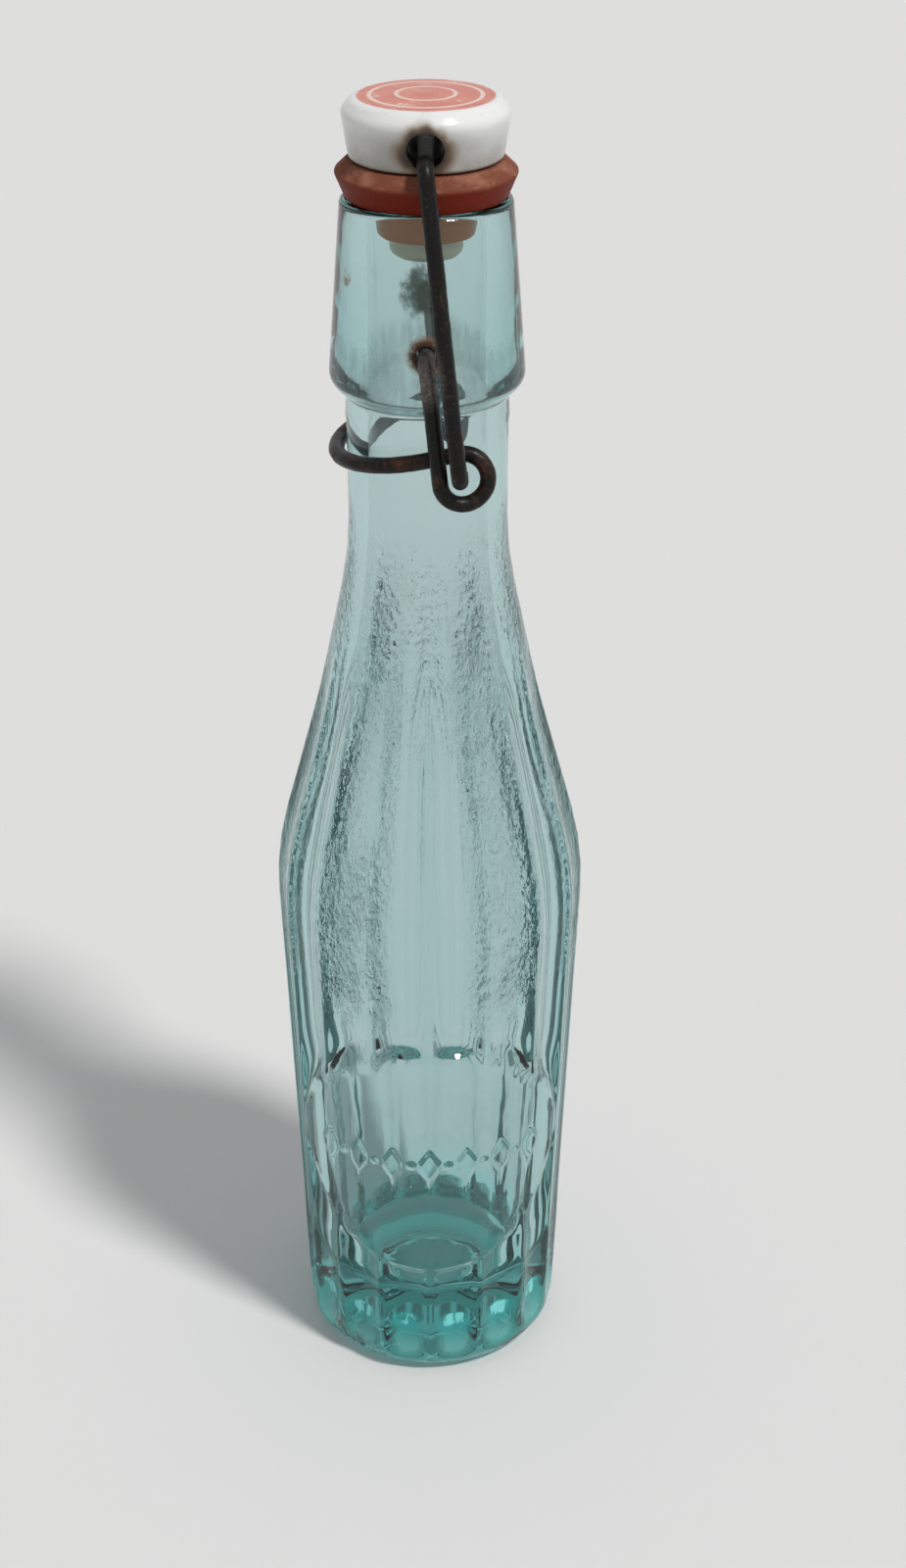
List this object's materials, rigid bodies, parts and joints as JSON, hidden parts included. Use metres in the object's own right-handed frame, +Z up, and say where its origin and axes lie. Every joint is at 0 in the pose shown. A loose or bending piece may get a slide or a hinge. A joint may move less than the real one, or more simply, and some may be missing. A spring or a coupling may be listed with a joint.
{
  "type": "swing-top bottle",
  "caption": "Fluted aqua glass bottle with a swing-top closure: porcelain stopper, rubber gasket, wire bail and an over-centre wire lever that clamps the stopper on the mouth.",
  "frame": {"origin": "middle of the base, on the surface that the bottle stands on", "axes": "+Z up along the bottle's axis, -Y towards the plain plaque at the front, -X towards the lever's thumb loop"},
  "size_m": [0.0612, 0.0612, 0.2643],
  "materials": {
    "glass": "aqua pressure glass, wavy and pebbled in the flutes",
    "porcelain": "white glaze, grimy round the cross bore",
    "rubber": "perished red rubber",
    "bail_wire": "dark oxidised iron wire",
    "lever_wire": "dark oxidised iron wire"
  },
  "bodies": {
    "bottle": {"glass_bottle": "glass"},
    "lever": {"lever_bail": "lever_wire"},
    "bail": {"stopper_bail": "bail_wire"},
    "stopper": {"porcelain_stopper": "porcelain", "rubber_gasket": "rubber"}
  },
  "joints": [
    {"name": "lever_swing", "type": "hinge", "parent": "bottle", "child": "lever", "pos_m": [0, 0, 0.2223], "axis": [0, 1, 0], "range_deg": [0, 100]},
    {"name": "bail_swing", "type": "hinge", "parent": "lever", "child": "bail", "pos_m": [0.00599, 0, 0.20061], "axis": [0, 1, 0], "range_deg": [-64, 0]},
    {"name": "stopper_tilt", "type": "hinge", "parent": "bail", "child": "stopper", "pos_m": [0, 0, 0.25599], "axis": [0, 1, 0], "range_deg": [-37, 0]}
  ],
  "couplings": [
    {"joint": "bail_swing", "follows": "lever_swing", "ratio": -0.635},
    {"joint": "stopper_tilt", "follows": "lever_swing", "ratio": -0.365}
  ]
}
